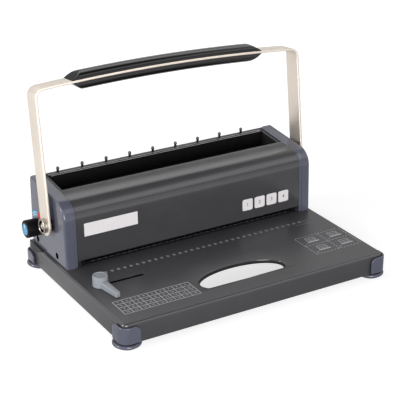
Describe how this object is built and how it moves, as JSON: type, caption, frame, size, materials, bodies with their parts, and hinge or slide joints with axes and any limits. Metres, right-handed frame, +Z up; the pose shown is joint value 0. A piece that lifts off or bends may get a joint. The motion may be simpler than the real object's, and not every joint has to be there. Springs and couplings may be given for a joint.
{
  "type": "wire binding machine",
  "caption": "Manual wire binding machine: a flat base with a punching tower, a U-shaped pull handle, a wire trough with hanger pins, a selector knob and a sliding edge guide",
  "frame": {"origin": "centre of the footprint, on the desk", "axes": "+X to the machine's right, +Y to its back, +Z up"},
  "size_m": [0.388, 0.2656, 0.2586],
  "materials": {
    "charcoal_paint": "satin",
    "blue_grey_plastic": "fine grain",
    "nickel_bar": "satin",
    "black_grip": "gloss",
    "bright_steel": "ground",
    "tool_steel": "ground",
    "black_steel": "satin",
    "bronze": "machined",
    "zinc_screws": "plated",
    "knob_black": "satin",
    "knob_blue": "gloss",
    "guide_grey": "satin",
    "black_rubber": "matt",
    "tray_black": "satin",
    "spring_steel": "drawn"
  },
  "bodies": {
    "chassis": {"base_pan": "charcoal_paint", "foot_front_left": "blue_grey_plastic", "foot_front_right": "blue_grey_plastic", "foot_rear_left": "blue_grey_plastic", "foot_rear_right": "blue_grey_plastic", "foot_pads": "black_rubber", "foot_screws": "zinc_screws", "front_cover": "charcoal_paint", "rear_cover": "charcoal_paint", "rear_cover_screws": "zinc_screws", "left_end_cap": "blue_grey_plastic", "right_end_cap": "blue_grey_plastic", "cap_screws": "zinc_screws", "left_side_frame": "black_steel", "right_side_frame": "black_steel", "frame_screws": "zinc_screws", "die_plate": "tool_steel", "stripper_plate": "tool_steel", "throat_spacers": "bright_steel", "paper_stop": "bright_steel", "die_screws": "zinc_screws", "guide_posts": "tool_steel", "punch_springs": "spring_steel", "left_shaft_bush": "bronze", "right_shaft_bush": "bronze", "selector_bush": "bronze", "closing_channel": "black_steel", "fixed_jaw": "black_steel", "jaw_slides": "bright_steel", "wire_hanger_rail": "black_steel", "wire_hanger_pins": "black_steel", "tray_runners": "bright_steel", "guide_channel": "black_steel"},
    "handle": {"handle_bar": "nickel_bar", "grip_upper": "black_grip", "grip_lower": "black_grip", "drive_shaft": "bright_steel", "pivot_washers": "zinc_screws", "pivot_bolts": "zinc_screws", "punch_pinions": "tool_steel", "jaw_gears": "tool_steel"},
    "punch": {"punch_bar": "bright_steel", "punches": "tool_steel", "punch_racks": "tool_steel"},
    "closer": {"moving_jaw": "black_steel", "jaw_racks": "tool_steel"},
    "selector": {"selector_knob": "knob_black", "knob_disc": "knob_blue", "selector_shaft": "bright_steel", "selector_cam": "tool_steel"},
    "guide": {"guide_slider": "guide_grey"},
    "guide_clamp": {"guide_lever": "guide_grey"},
    "tray": {"chip_tray": "tray_black", "tray_long_walls": "tray_black", "tray_end_walls": "tray_black", "tray_ears": "tray_black"}
  },
  "joints": [
    {"name": "handle_swing", "type": "hinge", "parent": "chassis", "child": "handle", "pos_m": [0, 0.0635, 0.0775], "axis": [1, 0, 0], "range_deg": [0, 80]},
    {"name": "punch_stroke", "type": "slide", "parent": "chassis", "child": "punch", "axis": [0, 0, -1], "range_m": [0, 0.0126], "deforming": ["punch_springs"]},
    {"name": "jaw_stroke", "type": "slide", "parent": "chassis", "child": "closer", "axis": [0, -1, 0], "range_m": [0, 0.0189]},
    {"name": "selector_turn", "type": "hinge", "parent": "chassis", "child": "selector", "pos_m": [-0.18, 0.104, 0.0585], "axis": [1, 0, 0], "range_deg": [0, 300]},
    {"name": "guide_slide", "type": "slide", "parent": "chassis", "child": "guide", "axis": [1, 0, 0], "range_m": [0, 0.0518]},
    {"name": "guide_lever_turn", "type": "hinge", "parent": "guide", "child": "guide_clamp", "pos_m": [-0.1587, -0.0303, 0.035], "axis": [0, 0, 1], "range_deg": [0, 90]},
    {"name": "tray_slide", "type": "slide", "parent": "chassis", "child": "tray", "axis": [0, 1, 0], "range_m": [0, 0.09]}
  ],
  "couplings": [
    {"joint": "punch_stroke", "follows": "handle_swing", "m_per_rad": 0.009},
    {"joint": "jaw_stroke", "follows": "handle_swing", "m_per_rad": 0.0135}
  ]
}
